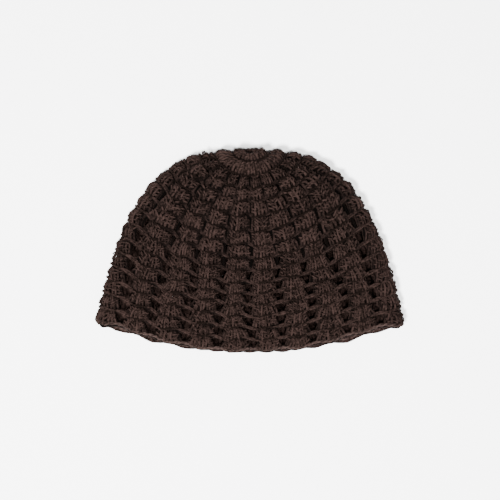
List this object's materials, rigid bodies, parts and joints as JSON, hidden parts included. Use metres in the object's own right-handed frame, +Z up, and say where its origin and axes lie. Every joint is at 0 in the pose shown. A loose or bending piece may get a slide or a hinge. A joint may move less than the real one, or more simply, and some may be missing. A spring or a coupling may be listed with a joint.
{
  "type": "crochet hat",
  "caption": "Soft crocheted skull cap laid flat: plain crown rounds, columns of open shells, edged rim and a hollow for the head.",
  "frame": {"origin": "on the surface that the hat lies on, under the middle of its footprint", "axes": "+X across the hat from side fold to side fold, +Y from the hem towards the crown, +Z up through the front layer"},
  "size_m": [0.2716, 0.1788, 0.039],
  "materials": {
    "crown_yarn": "matt dark brown wool yarn, plain trebles worked in rings, slightly fuzzy",
    "body_yarn": "matt dark brown wool yarn, open shell stitch, slightly fuzzy",
    "edge_yarn": "matt dark brown wool yarn, plain edging round, a touch paler"
  },
  "bodies": {
    "root": {"crown_centre": "crown_yarn", "shell_body": "body_yarn", "hem_edge": "edge_yarn"}
  },
  "joints": []
}
